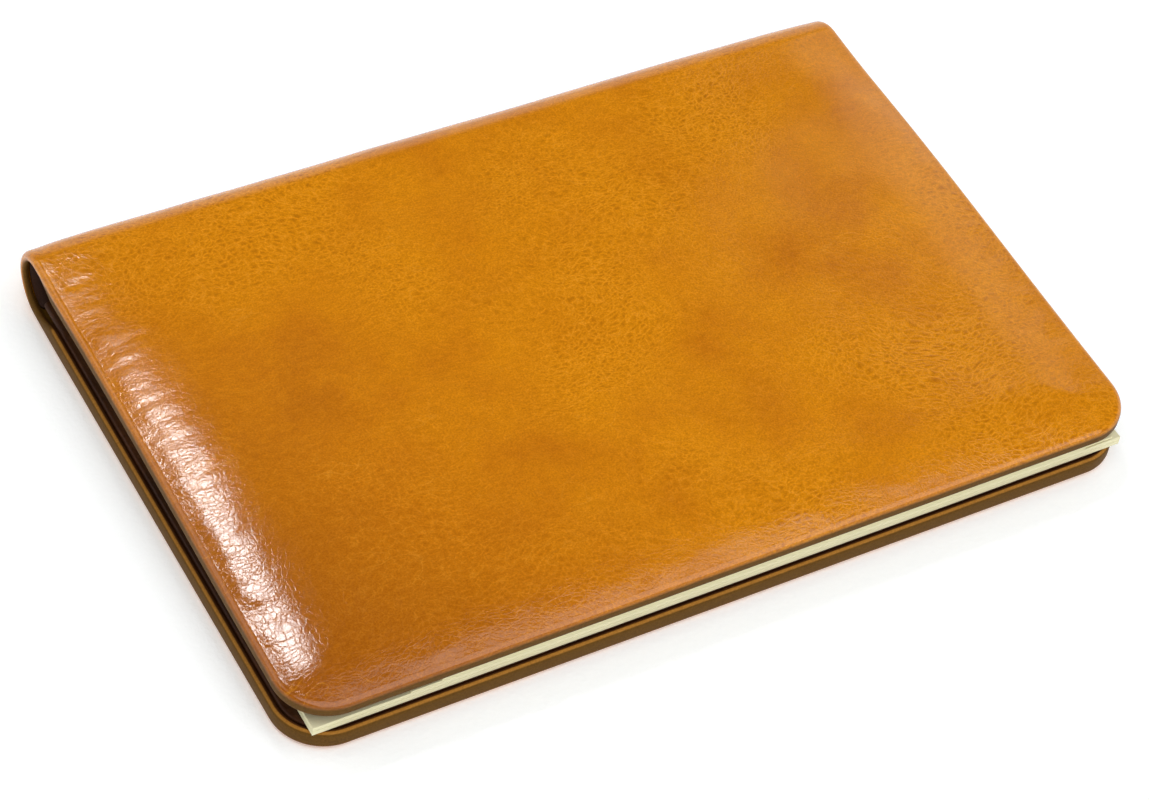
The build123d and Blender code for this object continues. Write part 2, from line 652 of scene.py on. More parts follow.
class Finish(Enum):
    """The finishes of the case's pieces, and the material slot that each belongs to."""

    OUTER = "outer_leather"
    POCKET = "pocket_leather"
    LINING = "lining"
    BOARD = "board"
    FILLER = "filler_card"
    CARD = "business_card"


class Side(Enum):
    """The two covers."""

    BACK = "back"
    FRONT = "front"


Finishes = dict[Finish, bpy.types.Material]


def make_finishes(fold: "Fold") -> Finishes:
    """Build every finish once.

    Args:
        fold: the case's folded pattern, whose edges the outer leather darkens.

    Returns:
        The material of each finish.
    """
    # The inner leathers' dark browns are painted shade: the inside is a slightly browner tan that looks
    # dark in the gap between the covers.
    pocket = InnerLeather(
        "dark_pocket_leather", linear(44, 20, 7), linear(88, 48, 18), 1.2, 0.5, 0.02 * MM
    )
    lining = InnerLeather(
        "dark_lining_leather", linear(38, 18, 8), linear(70, 36, 15), 2.6, 0.55, 0.02 * MM
    )
    # The creams are brighter and yellower than plain card, partly painted warm bounce light from the
    # leather.
    filler = CardStock("cream_filler_card", linear(243, 238, 204), linear(228, 220, 172), 0.19)
    card = CardStock("cream_business_card", linear(246, 240, 202), linear(234, 225, 176), 0.11)
    return {
        Finish.OUTER: GlazedLeather(fold).material(),
        Finish.POCKET: pocket.material(),
        Finish.LINING: lining.material(),
        Finish.BOARD: FibreBoard().material(),
        Finish.FILLER: filler.material(),
        Finish.CARD: card.material(),
    }


# ---------------------------------------------------------------- the folded pattern


@dataclass(frozen=True)
class Fold:
    """How the flat pattern folds: a flat back cover, a round spine and a front cover that leans down."""

    half_length: float
    radius: float
    centre_y: float
    bend: float
    back_reach: float
    front_reach: float
    bow: float = 0.38 * MM
    bow_skew: float = 0.22 * MM
    bow_start: float = 0.2
    wall: float = 1.35 * MM

    @classmethod
    def from_frame(cls) -> "Fold":
        """Read the fold from the CAD frame's joints and boxes.

        Returns:
            The fold.
        """
        joints = {joint["name"]: joint for joint in frame["joints"]}
        back_bend = joints["back_bend"]
        bend = 2 * math.radians(back_bend["range_deg"][1])
        low, high = CAD_BOX
        spine_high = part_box("spine_outer_middle")[1]
        radius = (spine_high[1] - back_bend["pos_m"][1]) / (1 - math.tan(bend / 4))
        centre_y = spine_high[1] - radius
        arc = 3 * bend
        start_y = centre_y + radius * math.sin(arc)
        front_reach = (start_y - low[1]) / -math.cos(arc)
        return cls((high[0] - low[0]) / 2, radius, centre_y, bend, centre_y - low[1], front_reach)

    @property
    def arc(self) -> float:
        """Turn of the whole spine, in radians."""
        return 3 * self.bend

    @property
    def spine(self) -> float:
        """Length of the pattern round the spine."""
        return self.radius * self.arc

    def seam(self, number: int) -> float:
        """Where the pattern crosses the middle of a spine strip, counted from the back cover."""
        return self.radius * self.bend * (number + 0.5)

    def lift(self, run: float) -> float:
        """How far the front cover bows out of its plane.

        Args:
            run: the distance from the spine along the front cover.

        Returns:
            The height of the bow there.
        """
        share = min(max(run / self.front_reach, 0.0), 1.0)
        curve = self.bow * math.sin(math.pi * share) + self.bow_skew * math.sin(2 * math.pi * share)
        return curve * smooth(share, 0.0, self.bow_start)

    def place(self, point: Vector) -> Vector:
        """Fold a point of the flat pattern.

        Args:
            point: its X, S and N.

        Returns:
            The point in the row frame.
        """
        x, run, depth = point
        turn = min(max(run / self.radius, 0.0), self.arc)
        past = run - turn * self.radius
        if past > 0:
            depth -= self.lift(past)
        along = Vector((0, math.cos(turn), math.sin(turn)))
        inward = Vector((0, -math.sin(turn), math.cos(turn)))
        centre = Vector((x, self.centre_y, self.radius))
        return centre + along * past + inward * (depth - self.radius)

    def on_spine(self, run: float) -> float:
        """1 round the spine, 0 on the covers, where the edges are thicker."""
        return smooth(run, -5 * MM, -1 * MM) * (1 - smooth(run, self.spine + 1 * MM, self.spine + 5 * MM))

    def bend_span(self, number: int) -> tuple[Vector, Vector]:
        """The stretch that bends at a joint; both its ends stay rigid through the spine's whole wall.

        Args:
            number: the joint, counted from the back cover.

        Returns:
            The start and the end of the stretch.
        """
        if number in (0, 3):
            run = self.seam(min(number, 2))
            turn = run / self.radius
            end = self.place(Vector((0, run, 0)))
            reach = Vector((0, math.cos(turn), math.sin(turn))) * self.radius * self.bend / 2
            return (end - reach, end) if number == 0 else (end, end + reach)
        start = self.place(Vector((0, self.seam(number - 1), 0)))
        end = self.place(Vector((0, self.seam(number), 0)))
        spare = (end - start).normalized() * self.wall * math.sin(self.bend / 2)
        return start + spare, end - spare


@dataclass(frozen=True)
class Outline:
    """Rounded rectangle in the flat pattern, from low to high along S."""

    half_length: float
    low: float
    high: float
    low_corner: float
    high_corner: float

    def core(self, x: float, run: float) -> tuple[Vector, float]:
        """The point that a place is measured from, and the corner radius there.

        Args:
            x: place along the spine.
            run: place along S.

        Returns:
            The point in the X and S plane, and the radius.
        """
        corner = self.low_corner if run < (self.low + self.high) / 2 else self.high_corner
        near_x = min(max(x, corner - self.half_length), self.half_length - corner)
        near_run = min(max(run, self.low + corner), self.high - corner)
        return Vector((near_x, near_run)), corner

    def inset(self, x: float, run: float) -> float:
        """Distance of a place from the outline, inwards.

        Args:
            x: place along the spine.
            run: place along S.

        Returns:
            The distance, which is below 0 outside.
        """
        core, corner = self.core(x, run)
        out = (Vector((x, run)) - core).length
        if out > TINY:
            return corner - out
        sides = (self.half_length - abs(x), run - self.low, self.high - run)
        return min(sides)

    def slide(self, x: float, run: float, inset: float) -> Vector:
        """The place beside this one that lies at an inset from the outline.

        Args:
            x: place along the spine.
            run: place along S.
            inset: distance from the outline, inwards.

        Returns:
            The place.
        """
        core, corner = self.core(x, run)
        away = Vector((x, run)) - core
        return core + away.normalized() * (corner - inset)

    def round_off(self, x: float, run: float, inset: float) -> Vector:
        """Move a place of the square grid so that the grid's corners lie on the rounded outline.

        Args:
            x: place along the spine.
            run: place along S.
            inset: how far inside the outline the grid ends.

        Returns:
            The moved place.
        """
        core, corner = self.core(x, run)
        reach = corner - inset
        away = Vector((x, run)) - core
        if min(abs(away.x), abs(away.y)) < TINY or reach <= 0:
            return Vector((x, run))
        return core + away.normalized() * max(abs(away.x), abs(away.y))


Zone = tuple[float, float, int]
Level = Callable[[float, float, float], float]


def zones_between(stops: Sequence[float], steps: Sequence[float]) -> list[Zone]:
    """Zones between stops, each cut into steps of about the given size.

    Args:
        stops: where the zones start and end, in order.
        steps: the size of a step in each zone.

    Returns:
        The zones.
    """
    return [
        (start, end, max(round((end - start) / step), 1))
        for start, end, step in zip(stops, stops[1:], steps)
    ]


def zone_stops(zones: Sequence[Zone]) -> list[float]:
    """Stops of a grid line set.

    Args:
        zones: (start, end, number of steps) of each stretch, in order.

    Returns:
        Every stop, from the first start to the last end.
    """
    stops = [zones[0][0]]
    for start, end, steps in zones:
        stops += [start + (end - start) * (step + 1) / steps for step in range(steps)]
    return stops


class FlatMesh:
    """A mesh modelled in the flat pattern by bmesh operators, folded and handed over as pieces."""

    def __init__(self, fold: Fold, finishes: Finishes) -> None:
        """Start an empty mesh that will be folded so and finished so."""
        self.fold = fold
        self.finishes = finishes
        self.bm = bmesh.new()

    def grid(self, columns: Sequence[Zone], rows: Sequence[Zone]) -> None:
        """Lay a grid whose lines stand at the zones' stops, facing the case's outside.

        Args:
            columns: the zones along the spine.
            rows: the zones along S.
        """
        across = zone_stops(columns)
        along = zone_stops(rows)
        bmesh.ops.create_grid(
            self.bm, x_segments=len(across) - 1, y_segments=len(along) - 1, size=0.5
        )
        for vert in self.bm.verts:
            column = round((vert.co.x + 0.5) * (len(across) - 1))
            row = round((vert.co.y + 0.5) * (len(along) - 1))
            vert.co = (across[column], along[row], 0)
        bmesh.ops.reverse_faces(self.bm, faces=self.bm.faces)

    def lay(
        self,
        zones: tuple[Sequence[Zone], Sequence[Zone]],
        outline: Outline,
        inset: float,
        level: Level,
    ) -> None:
        """Lay a grid with rounded corners and set the depth of each place.

        Args:
            zones: the grid's zones along the spine and along S.
            outline: the outline that the corners follow.
            inset: how far inside it the grid ends.
            level: the depth, from the place along the spine, the place along S and the inset.
        """
        self.grid(*zones)
        for vert in self.bm.verts:
            vert.co.xy = outline.round_off(vert.co.x, vert.co.y, inset)
            x, run = vert.co.xy
            vert.co.z = level(x, run, outline.inset(x, run))

    def border(self) -> list[bmesh.types.BMEdge]:
        """The mesh's open edges."""
        return [edge for edge in self.bm.edges if edge.is_boundary]

    def grow_rim(self, outline: Outline, steps: Sequence[tuple[float, Callable[[Vector], float]]]) -> None:
        """Extrude the border through (inset, depth) steps, each depth a function of the place.

        Args:
            outline: what the insets are measured from.
            steps: the steps, in order.
        """
        edges = self.border()
        for inset, depth in steps:
            grown = bmesh.ops.extrude_edge_only(self.bm, edges=edges)["geom"]
            edges = [item for item in grown if isinstance(item, bmesh.types.BMEdge)]
            for vert in [item for item in grown if isinstance(item, bmesh.types.BMVert)]:
                vert.co.xy = outline.slide(vert.co.x, vert.co.y, inset)
                vert.co.z = depth(vert.co)

    def fill(self) -> None:
        """Close the border with one face."""
        bmesh.ops.holes_fill(self.bm, edges=self.border(), sides=0)

    def thicken(self, thickness: float) -> None:
        """Give the sheet a wall towards the inside of the case."""
        bmesh.ops.solidify(self.bm, geom=self.bm.faces[:], thickness=thickness)

    def mirror_run(self, total: float) -> None:
        """Turn a mesh made on the back cover over to the front cover."""
        for vert in self.bm.verts:
            vert.co.y = total - vert.co.y
        bmesh.ops.reverse_faces(self.bm, faces=self.bm.faces)

    def fold_up(self) -> None:
        """Keep each vertex's flat place, fold the mesh round the spine, and keep its smooth normals."""
        pattern = self.bm.verts.layers.float_vector.new(PATTERN)
        kept = self.bm.verts.layers.float_vector.new(KEPT_NORMAL)
        for vert in self.bm.verts:
            vert[pattern] = vert.co
            vert.co = self.fold.place(vert.co)
        if self.bm.calc_volume(signed=True) < 0:
            bmesh.ops.reverse_faces(self.bm, faces=self.bm.faces)
        self.bm.normal_update()
        for vert in self.bm.verts:
            vert[kept] = vert.normal

    def cut_span(self, part: bmesh.types.BMesh, low: float, high: float) -> None:
        """Keep the stretch of a folded mesh from low to high along S, closed at both cuts.

        Args:
            part: the folded mesh.
            low: start of the stretch.
            high: its end.
        """
        pattern = part.verts.layers.float_vector[PATTERN]
        outside = []
        for face in part.faces:
            middle = sum(vert[pattern].y for vert in face.verts) / len(face.verts)
            if not low < middle < high:
                outside.append(face)
        bmesh.ops.delete(part, geom=outside, context="FACES")
        cut = [edge for edge in part.edges if edge.is_boundary]
        bmesh.ops.holes_fill(part, edges=cut, sides=0)

    def piece(
        self, name: str, finish: Finish, span: Optional[tuple[float, float]] = None
    ) -> bpy.types.Object:
        """Make an object of the folded mesh.

        Args:
            name: the piece's name.
            finish: what it is made of.
            span: the stretch along S, or None for the whole mesh.

        Returns:
            The new object.
        """
        part = self.bm.copy()
        if span:
            self.cut_span(part, *span)
        for face in part.faces:
            face.smooth = True
        mesh = bpy.data.meshes.new(name)
        kept = part.verts.layers.float_vector[KEPT_NORMAL]
        normals = [tuple(vert[kept]) for vert in part.verts]
        part.to_mesh(mesh)
        part.free()
        mesh.normals_split_custom_set_from_vertices(normals)
        mesh.attributes.remove(mesh.attributes[KEPT_NORMAL])
        return hand_over(mesh, name, finish, self.finishes)

    def cover_piece(self, side: Side, name: str, finish: Finish, layer: str) -> bpy.types.Object:
        """Fold a mesh made for the back cover and hang it on the cover of that side.

        Args:
            side: the cover it belongs to; for the front one it is turned over first.
            name: the piece's name, before the side's.
            finish: what it is made of.
            layer: the layer's word in the CAD nodes' names.

        Returns:
            The new object.
        """
        if side is Side.FRONT:
            self.mirror_run(self.fold.spine)
        self.fold_up()
        made = self.piece(f"{name}_{side.value}", finish)
        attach(made, f"{side.value}_cover")
        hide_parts(f"{layer}_{side.value}")
        return made


def hand_over(
    mesh: bpy.types.Mesh, name: str, finish: Finish, finishes: Finishes
) -> bpy.types.Object:
    """Make an object of a finished mesh, in its material and slot, and report it.

    Args:
        mesh: the finished mesh.
        name: the object's name.
        finish: what it is made of.
        finishes: the material of each finish.

    Returns:
        The new object.
    """
    mesh.materials.append(finishes[finish])
    made = bpy.data.objects.new(name, mesh)
    bpy.context.scene.collection.objects.link(made)
    LOG.info("%s: %d faces of %s", name, len(mesh.polygons), finish.value)
    return made


# ---------------------------------------------------------------- sub-assemblies


@dataclass
class OuterLeather:
    """The one leather skin round both covers and the spine, its edge turned in all round."""

    fold: Fold
    finishes: Finishes
    corner: float = 6.0 * MM
    rim_start: float = 0.8 * MM
    shoulder: float = 0.6 * MM
    shoulder_steps: int = 5
    bead: float = 0.43 * MM
    bead_height: float = 0.42 * MM
    bead_steps: int = 6
    cover_crest: float = 2.5 * MM
    spine_crest: float = 1.45 * MM
    turned_rows: tuple[float, ...] = (1.8 * MM, 3.6 * MM, 5.6 * MM)
    leather: float = 0.3 * MM
    front_drop: float = 0.85 * MM
    spine_drop: float = 0.3 * MM
    back_drop: float = 0.12 * MM
    pillow_reach: float = 9.5 * MM
    front_step: float = 0.34 * MM
    across_step: float = 0.62 * MM
    spine_step: float = 0.33 * MM
    back_step: float = 0.9 * MM

    def outline(self) -> Outline:
        """Outline of the whole flat skin.

        Returns:
            The outline.
        """
        fold = self.fold
        return Outline(
            fold.half_length, -fold.back_reach, fold.spine + fold.front_reach, self.corner, self.corner
        )

    def wrinkles(self, x: float, run: float, inset: float) -> float:
        """Depth of the leather's waves and edge wrinkles at a place.

        Args:
            x: place along the spine.
            run: place along S.
            inset: distance from the outline, inwards.

        Returns:
            The depth, inwards.
        """
        fold = self.fold
        at = Vector((x / MM, run / MM, 0))
        waves = noise.noise(at * 0.05) * 0.10 + noise.noise(at * 0.15 + Vector((7, 3, 1))) * 0.03
        left = smooth(-x, fold.half_length - 15 * MM, fold.half_length - 3 * MM)
        edge = 1 - smooth(inset, 1 * MM, 9 * MM)
        pull = noise.noise(Vector((at.x * 0.14, at.y * 0.45 + at.x * 0.05, 4.0))) * 0.018
        pull += noise.noise(Vector((at.x * 0.3, at.y * 1.0 + at.x * 0.08, 9.0))) * 0.03
        pull *= 1 - 0.65 * smooth(run, fold.spine + 30 * MM, fold.spine + 55 * MM)
        rest = noise.noise(Vector((at.x * 0.3, at.y * 0.45, 2.0))) * 0.04
        return (waves + pull * left + rest * edge) * MM

    def drop(self, run: float) -> float:
        """How far the edge lies below the middle: soft on the front cover, nearly flat on the table.

        Args:
            run: place along S.

        Returns:
            The drop there.
        """
        fold = self.fold
        front = smooth(run, fold.spine - 2 * MM, fold.spine + 14 * MM)
        back = 1 - smooth(run, -6 * MM, 2 * MM)
        level = self.spine_drop + (self.front_drop - self.spine_drop) * front
        return level + (self.back_drop - self.spine_drop) * back

    def depth(self, x: float, run: float, inset: float) -> float:
        """Depth of the outer face below the cover's plane; the back cover stays above the table.

        Args:
            x: place along the spine.
            run: place along S.
            inset: distance from the outline, inwards.

        Returns:
            The depth, inwards.
        """
        fall = max(1 - inset / self.pillow_reach, 0.0)
        ripple = self.wrinkles(x, run, inset) * smooth(inset, 0.4 * MM, 2.5 * MM)
        level = self.drop(run) * fall * fall + ripple
        return max(level, 0.0) if run < self.fold.spine / 2 else level

    def shoulder_depth(self, run: float) -> float:
        """Depth at which the rim starts."""
        return self.drop(run) * (1 - self.rim_start / self.pillow_reach) ** 2

    def crest(self, run: float) -> float:
        """Height of the turned edge's crest, which is less round the spine."""
        return self.cover_crest + (self.spine_crest - self.cover_crest) * self.fold.on_spine(run)

    def rim(self) -> list[tuple[float, Callable[[Vector], float]]]:
        """Steps of the turned edge: round the shoulder, over the bead, and inwards.

        Returns:
            The inset of each step, and its depth as a function of the place.
        """
        steps = []
        for step in range(1, self.shoulder_steps + 1):
            turn = math.pi / 2 * step / self.shoulder_steps
            inset = self.rim_start * (1 - math.sin(turn))
            fall = self.shoulder * (1 - math.cos(turn))
            steps.append((inset, lambda co, f=fall: self.shoulder_depth(co.y) + f))
        for step in range(self.bead_steps + 1):
            turn = math.pi * step / self.bead_steps
            inset = self.bead * (1 - math.cos(turn))
            fall = self.bead_height * (1 - math.sin(turn))
            steps.append((inset, lambda co, f=fall: self.crest(co.y) - f))
        for inset in self.turned_rows:
            steps.append((inset, lambda co: self.crest(co.y) - self.bead_height))
        return steps

    def rows(self) -> list[Zone]:
        """Grid rows along the pattern, with a row on every seam.

        Returns:
            The zones along S.
        """
        fold = self.fold
        stops = [-fold.back_reach + self.rim_start, -fold.back_reach + 8 * MM, -3 * MM]
        stops += [fold.seam(0), fold.seam(1), fold.seam(2)]
        stops += [fold.spine + 1.5 * MM, fold.spine + fold.front_reach - self.rim_start]
        steps = [self.front_step, self.back_step, self.spine_step, self.spine_step]
        steps += [self.spine_step, self.spine_step, self.front_step]
        return zones_between(stops, steps)

    def columns(self) -> list[Zone]:
        """Grid columns along the spine.

        Returns:
            The zones along the spine.
        """
        edge = self.fold.half_length - self.rim_start
        middle = self.fold.half_length - 6 * MM
        count = round(2 * middle / self.across_step)
        return [(-edge, -middle, 15), (-middle, middle, count), (middle, edge, 15)]

    def build(self) -> list[bpy.types.Object]:
        """Model the skin and cut it at the spine's strips.

        Returns:
            The four stretches.
        """
        outline = self.outline()
        flat = FlatMesh(self.fold, self.finishes)
        flat.lay((self.columns(), self.rows()), outline, self.rim_start, self.depth)
        flat.grow_rim(outline, self.rim())
        flat.thicken(self.leather)
        flat.fold_up()
        return split_at_strips(flat, "outer_leather", Finish.OUTER, "outer")


@dataclass
class Lining:
    """The thin lining, from the one cover's pocket over the spine to the other's."""

    fold: Fold
    finishes: Finishes
    margin: float = 6.1 * MM
    spine_margin: float = 0.92 * MM
    cover_level: float = 1.44 * MM
    spine_level: float = 1.09 * MM
    thickness: float = 0.28 * MM
    step: float = 1.2 * MM
    spine_step: float = 0.4 * MM

    def level(self, x: float, run: float) -> float:
        """Depth of the lining's outer side, with a little slack over the spine.

        Args:
            x: place along the spine.
            run: place along S.

        Returns:
            The depth, inwards.
        """
        on_spine = self.fold.on_spine(run)
        slack = abs(noise.noise(Vector((x / MM * 0.35, run / MM * 0.9, 5.0)))) * 0.12 * MM
        return self.cover_level + (self.spine_level - self.cover_level + slack) * on_spine

    def build(self) -> list[bpy.types.Object]:
        """Model the lining and cut it at the spine's strips.

        Returns:
            The four stretches.
        """
        fold = self.fold
        half = fold.half_length - self.margin
        spine_half = fold.half_length - self.spine_margin
        stops = [self.margin - fold.back_reach, -4 * MM, fold.seam(0), fold.seam(1), fold.seam(2)]
        stops += [fold.spine + 4 * MM, fold.spine + fold.front_reach - self.margin]
        steps = [self.step] + [self.spine_step] * 4 + [self.step]
        flat = FlatMesh(fold, self.finishes)
        flat.grid(zones_between((-half, half), (self.step,)), zones_between(stops, steps))
        for vert in flat.bm.verts:
            run = vert.co.y
            wide = smooth(run, -1.2 * MM, 0.2 * MM)
            wide *= 1 - smooth(run, fold.spine - 0.2 * MM, fold.spine + 1.2 * MM)
            vert.co.x *= 1 + (spine_half / half - 1) * wide
            vert.co.z = self.level(vert.co.x, run)
        flat.thicken(self.thickness)
        flat.fold_up()
        return split_at_strips(flat, "lining", Finish.LINING, "lining")


def split_at_strips(
    flat: FlatMesh, name: str, finish: Finish, layer: str
) -> list[bpy.types.Object]:
    """Cut a folded layer at the middle of each spine strip, where it is rigid.

    Args:
        flat: the folded mesh of the whole layer.
        name: what the stretches are called.
        finish: what they are made of.
        layer: the layer's word in the CAD nodes' names.

    Returns:
        The four stretches, from the back cover to the front cover.
    """
    fold = flat.fold
    words = ["back", "spine_lower", "spine_upper", "front"]
    nodes = [
        [f"{layer}_back"],
        [f"spine_{layer}_lower"],
        [f"spine_{layer}_middle"],
        [f"{layer}_front", f"spine_{layer}_upper"],
    ]
    ends = [-1.0, fold.seam(0), fold.seam(1), fold.seam(2), 1.0]
    made = []
    for number, word in enumerate(words):
        piece = flat.piece(f"{name}_{word}", finish, (ends[number], ends[number + 1]))
        start, end = fold.bend_span(number)
        tuple(start)
        tuple(end)
        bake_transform(piece)
        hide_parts(*nodes[number])
        made.append(piece)
    return made


@dataclass
class Pocket:
    """A cover's pocket panel: its edge glued on three sides, its hemmed mouth open to the spine."""

    fold: Fold
    finishes: Finishes
    side: Side
    inset: float = 0.9 * MM
    corner: float = 5.1 * MM
    mouth: float = 0.35 * MM
    mouth_corner: float = 0.6 * MM
    under: float = 2.12 * MM
    thickness: float = 0.48 * MM
    rim_start: float = 0.24 * MM
    hem: float = 5.5 * MM
    step: float = 0.62 * MM

    def outline(self) -> Outline:
        """Outline of the panel on the back cover.

        Returns:
            The outline.
        """
        return Outline(
            self.fold.half_length - self.inset,
            self.inset - self.fold.back_reach,
            -self.mouth,
            self.corner,
            self.mouth_corner,
        )

    def top(self, x: float, run: float, inset: float) -> float:
        """Depth of the panel's free face: a soft lip, a crease beside it, and a hem at the mouth.

        Args:
            x: place along the spine.
            run: place along S.
            inset: distance from the outline, inwards.

        Returns:
            The depth, inwards.
        """
        edge_line = -0.09 * MM * math.exp(-(((inset - 1.7 * MM) / (0.3 * MM)) ** 2))
        lip = 0.05 * MM * (1 - smooth(inset, 0.2 * MM, 1.5 * MM))
        to_mouth = -self.mouth - run
        hem = 0.1 * MM * (1 - smooth(to_mouth, self.hem - 0.4 * MM, self.hem + 0.3 * MM))
        at = Vector((x / MM, run / MM, 3.0 if self.side is Side.BACK else 11.0))
        waves = noise.noise(at * 0.09) * 0.05 * MM + noise.noise(at * 0.5) * 0.02 * MM
        return self.under + self.thickness + edge_line + lip + hem + waves * smooth(inset, 0, 3 * MM)

    def build(self) -> bpy.types.Object:
        """Model the panel on the back cover, turn it over if it is the front one, and place it.

        Returns:
            The panel.
        """
        outline = self.outline()
        edge = outline.half_length - self.rim_start
        near = outline.half_length - 2.6 * MM
        columns = [(-edge, -near, 12), (-near, near, round(2 * near / self.step)), (near, edge, 12)]
        low, high = outline.low + self.rim_start, outline.high - self.rim_start
        hem_at = outline.high - self.hem
        rows = [
            (low, low + 2.4 * MM, 12),
            (low + 2.4 * MM, hem_at - 1 * MM, round((hem_at - low) / self.step)),
            (hem_at - 1 * MM, hem_at + 1 * MM, 8),
            (hem_at + 1 * MM, high - 2.4 * MM, 4),
            (high - 2.4 * MM, high, 12),
        ]
        flat = FlatMesh(self.fold, self.finishes)
        flat.lay((columns, rows), outline, self.rim_start, self.top)
        top_edge = self.top(0, outline.low + self.rim_start, self.rim_start)
        steps = []
        for step in range(1, 6):
            turn = math.pi * step / 5
            inset = self.rim_start * (1 - math.sin(turn))
            share = (1 - math.cos(turn)) / 2
            steps.append((inset, lambda co, s=share: top_edge + (self.under - top_edge) * s))
        flat.grow_rim(outline, steps)
        flat.fill()
        return flat.cover_piece(self.side, "pocket_panel", Finish.POCKET, "pocket")


@dataclass
class Board:
    """A cover's stiffener board, which follows the cover's bow."""

    fold: Fold
    finishes: Finishes
    side: Side
    inset: float = 1.3 * MM
    corner: float = 4.7 * MM
    spine_gap: float = 2.2 * MM
    level: float = 0.95 * MM
    thickness: float = 0.48 * MM
    step: float = 4.0 * MM

    def build(self) -> bpy.types.Object:
        """Model the board and place it in its cover.

        Returns:
            The board.
        """
        low = self.inset - self.fold.back_reach
        outline = Outline(self.fold.half_length - self.inset, low, -self.spine_gap, self.corner, 0.5 * MM)
        half = outline.half_length
        columns = [(-half, -half + self.corner, 6), (-half + self.corner, half - self.corner, 24)]
        columns.append((half - self.corner, half, 6))
        rows = [(low, low + self.corner, 6), (low + self.corner, outline.high, 15)]
        flat = FlatMesh(self.fold, self.finishes)
        flat.lay((columns, rows), outline, 0.0, lambda x, run, inset: self.level)
        flat.thicken(self.thickness)
        return flat.cover_piece(self.side, "stiffener_board", Finish.BOARD, "board")


@dataclass
class LooseSheet:
    """A loose filler sheet or card, cut square, with softened edges and a slight wave."""

    finishes: Finishes
    node: str
    body: str
    finish: Finish
    edge: float = 0.035 * MM
    wave: float = 0.012 * MM
    cuts: int = 24

    def build(self) -> bpy.types.Object:
        """Model the sheet in the box of its CAD node.

        Returns:
            The sheet.
        """
        low, high = (Vector(corner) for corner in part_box(self.node))
        bm = bmesh.new()
        bmesh.ops.create_cube(bm, size=1.0)
        upright = [edge for edge in bm.edges if abs(edge.verts[0].co.z - edge.verts[1].co.z) < 0.5]
        bmesh.ops.transform(bm, matrix=Matrix.Diagonal((*(high - low), 1.0)), verts=bm.verts)
        bmesh.ops.translate(bm, vec=(low + high) / 2, verts=bm.verts)
        bmesh.ops.bevel(
            bm, geom=upright, offset=self.edge, affect="EDGES", segments=2, profile=0.5, material=-1
        )
        long_edges = [edge for edge in bm.edges if edge.calc_length() > 10 * self.edge + (high.z - low.z)]
        bmesh.ops.subdivide_edges(bm, edges=long_edges, cuts=self.cuts, use_grid_fill=True)
        pattern = bm.verts.layers.float_vector.new(PATTERN)
        for vert in bm.verts:
            vert[pattern] = vert.co
            at = vert.co / MM
            vert.co.z += noise.noise(Vector((at.x * 0.03, at.y * 0.04, 1.0))) * self.wave
            vert.co.y += noise.noise(Vector((at.x * 0.05, at.z * 0.3, 6.0))) * self.wave
        mesh = bpy.data.meshes.new(self.node)
        bm.to_mesh(mesh)
        bm.free()
        made = hand_over(mesh, f"loose_{self.node}", self.finish, self.finishes)
        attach(made, self.body)
        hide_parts(self.node)
        return made


# ---------------------------------------------------------------- studio


@dataclass(frozen=True)
class Lamp:
    """A soft rectangular lamp that faces the case."""

    name: str
    place: tuple[float, float, float]
    size: tuple[float, float]
    brightness: float
    aim: tuple[float, float, float] = (0.0, 0.0, 0.0)

    def hang(self) -> None:
        """Put the lamp in the scene; its power makes its face as bright as asked, whatever its size."""
        data = bpy.data.lights.new(self.name, "AREA")
        data.shape = "RECTANGLE"
        data.size, data.size_y = self.size
        data.energy = 4 * self.size[0] * self.size[1] * self.brightness
        made = bpy.data.objects.new(self.name, data)
        place = Vector(self.place)
        turn = (Vector(self.aim) - place).to_track_quat("-Z", "Y").to_matrix().to_4x4()
        made.matrix_world = Matrix.Translation(place) @ turn
        bpy.context.scene.collection.objects.link(made)


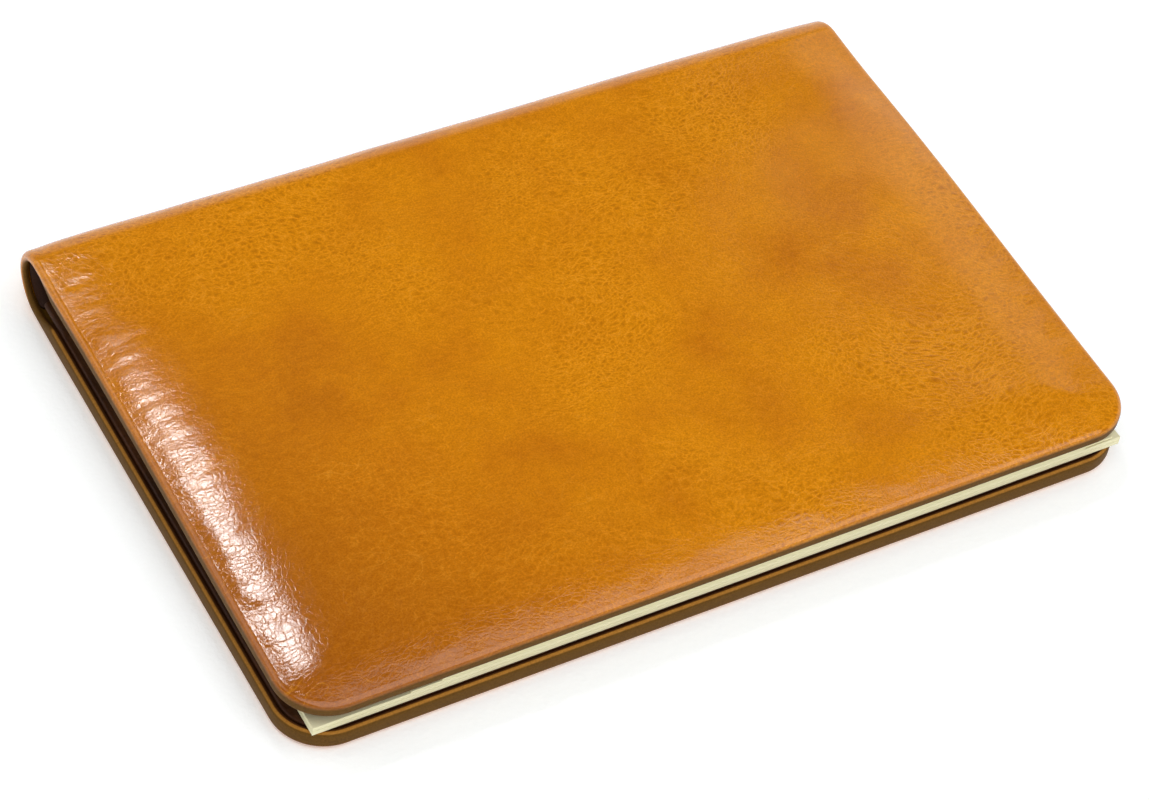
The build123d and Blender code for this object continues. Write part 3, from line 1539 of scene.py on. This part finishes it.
@dataclass
class Studio:
    """Pale table, soft lights and the camera."""

    aim: Vector = field(default_factory=lambda: Vector((-1.8, -3.25, 0.0)) * MM)
    azimuth: float = -35.92
    elevation: float = 47.43
    roll: float = 9.75
    distance: float = 394.5 * MM
    lens: float = 109.77
    table_size: float = 4.0
    table_glow: float = 0.18
    horizon: float = 1.0
    zenith: float = 0.06
    wall_fade: tuple[float, float] = (0.3, 0.62)
    lamps: tuple[Lamp, ...] = (
        Lamp("window", (0.042, 0.425, 0.755), (0.10, 0.09), 19.0, (-0.05, -0.02, 0.0)),
        Lamp("window_glow", (0.045, 0.55, 0.755), (0.10, 0.14), 1.7, (-0.05, -0.02, 0.0)),
        Lamp("left_panel", (-0.7, 0.75, 1.15), (0.8, 0.9), 1.1),
        Lamp("right_panel", (1.05, 0.88, 0.92), (0.36, 0.7), 0.5),
        Lamp("ceiling", (0.1, -0.62, 1.6), (2.2, 2.1), 1.53),
    )

    def camera(self) -> None:
        """Set the camera."""
        turn, rise = math.radians(self.azimuth), math.radians(self.elevation)
        back = Vector((math.sin(turn) * math.cos(rise), -math.cos(turn) * math.cos(rise), math.sin(rise)))
        data = bpy.data.cameras.new("camera")
        data.lens = self.lens
        data.sensor_width = 36.0
        data.clip_start = 0.01
        data.clip_end = 20.0
        made = bpy.data.objects.new("camera", data)
        look = (-back).to_track_quat("-Z", "Y").to_matrix().to_4x4()
        place = Matrix.Translation(self.aim + back * self.distance)
        made.matrix_world = place @ look @ Matrix.Rotation(math.radians(self.roll), 4, "Z")
        bpy.context.scene.collection.objects.link(made)
        bpy.context.scene.camera = made

    def table(self) -> None:
        """Lay a pale, very finely grained table top under the case, which glows faintly: painted light
        that lifts the shadows on it.
        """
        bm = bmesh.new()
        bmesh.ops.create_grid(bm, x_segments=1, y_segments=1, size=self.table_size / 2)
        mesh = bpy.data.meshes.new("table")
        bm.to_mesh(mesh)
        bm.free()
        graph = Graph("pale_table")
        place = graph.node("ShaderNodeTexCoord")
        where = graph.vector("SCALE", Wire(graph, place.outputs["Object"]), scale=1 / MM)
        grain = graph.noise(where, 1.6, 2.0, 0.6)
        normal = graph.bump(grain, 0.12 * MM, 0.6)
        mesh.materials.append(
            graph.finish(
                {"Normal": normal},
                {
                    "Base Color": (0.97, 0.98, 0.98, 1),
                    "Roughness": 0.6,
                    # Emission: painted light, a glow that lifts the case's shadows on the table and lights
                    # the case faintly from below.
                    "Emission Color": (0.95, 1.0, 0.99, 1),
                    "Emission Strength": self.table_glow,
                },
            )
        )
        made = bpy.data.objects.new("table", mesh)
        bpy.context.scene.collection.objects.link(made)

    def sky(self) -> None:
        """Surround the table with a wall that is bright low down and dark above."""
        world = bpy.data.worlds.new("surround")
        graph = Graph(world)
        direction = graph.node("ShaderNodeTexCoord").outputs["Generated"]
        above = graph.split(Wire(graph, direction))[2].step(*self.wall_fade)
        brightness = above * (self.zenith - self.horizon) + self.horizon
        wall = graph.node("ShaderNodeBackground", None, {"Strength": brightness})
        graph.node("ShaderNodeOutputWorld", None, {"Surface": Wire(graph, wall.outputs[0])})
        bpy.context.scene.world = world

    def build(self) -> None:
        """Set up the camera, the table, the lights and the view's colours."""
        self.camera()
        self.table()
        self.sky()
        for lamp in self.lamps:
            lamp.hang()
        bpy.context.scene.view_settings.view_transform = "Standard"


def build_case(fold: Fold, finishes: Finishes) -> Iterable[bpy.types.Object]:
    """Build the case's layers from the outside in, then what lies in it.

    Args:
        fold: how the pattern folds.
        finishes: the material of each finish.

    Yields:
        Each finished piece.
    """
    yield from OuterLeather(fold, finishes).build()
    yield from Lining(fold, finishes).build()
    for side in Side:
        yield Board(fold, finishes, side).build()
        yield Pocket(fold, finishes, side).build()
    for word in ("lower", "upper"):
        yield LooseSheet(finishes, f"filler_sheet_{word}", f"filler_{word}", Finish.FILLER).build()
        yield LooseSheet(finishes, f"business_card_{word}", f"card_{word}", Finish.CARD).build()


def main() -> None:
    """Set up the studio and build the case."""
    logging.basicConfig(level=logging.INFO, format="%(name)s %(message)s")
    Studio().build()
    fold = Fold.from_frame()
    finishes = make_finishes(fold)
    count = sum(1 for _ in build_case(fold, finishes))
    LOG.info("%d pieces", count)


if __name__ == "__main__":
    main()
